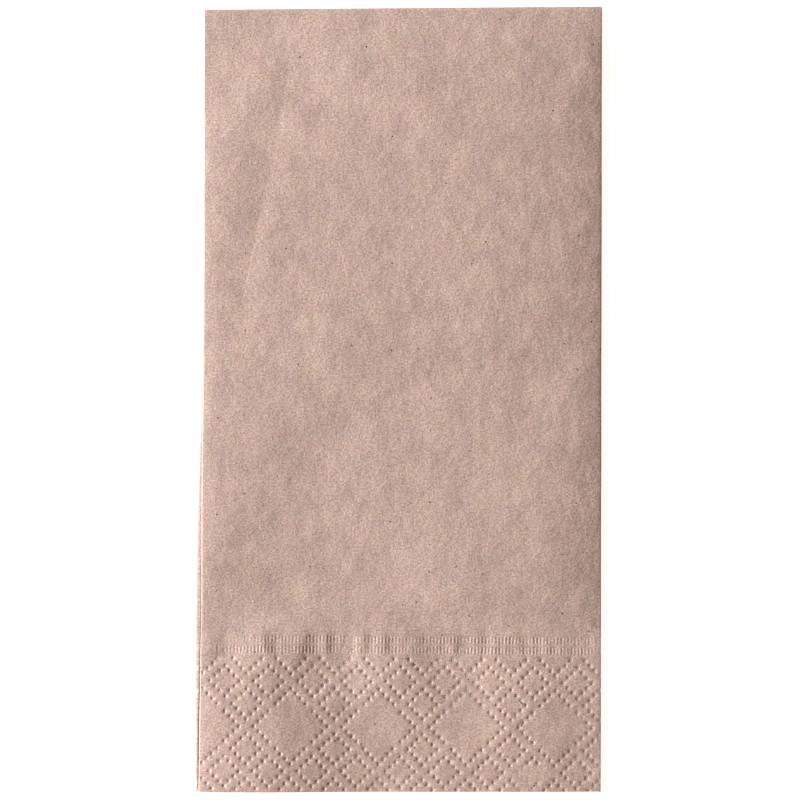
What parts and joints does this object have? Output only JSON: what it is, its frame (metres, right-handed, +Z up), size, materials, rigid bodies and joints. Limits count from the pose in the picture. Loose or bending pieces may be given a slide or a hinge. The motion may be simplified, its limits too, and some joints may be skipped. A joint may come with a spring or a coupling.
{
  "type": "paper napkin",
  "caption": "Flat folded kraft tissue napkin, an oblong packet of one sheet, with a border of embossed diamonds and fine grooves at its cut end.",
  "frame": {"origin": "centre of the underside of the folded packet, on the surface that it lies on", "axes": "+X across the packet, towards the fold that closes all four layers of a half; +Y along the packet, towards the cross fold; +Z up through the layers, to the panel with the visible border"},
  "size_m": [0.1038, 0.2004, 0.0027],
  "materials": {
    "kraft_tissue": "matte unbleached two-ply tissue, soft and fibrous"
  },
  "bodies": {
    "root": {"napkin": "kraft_tissue"}
  },
  "joints": []
}
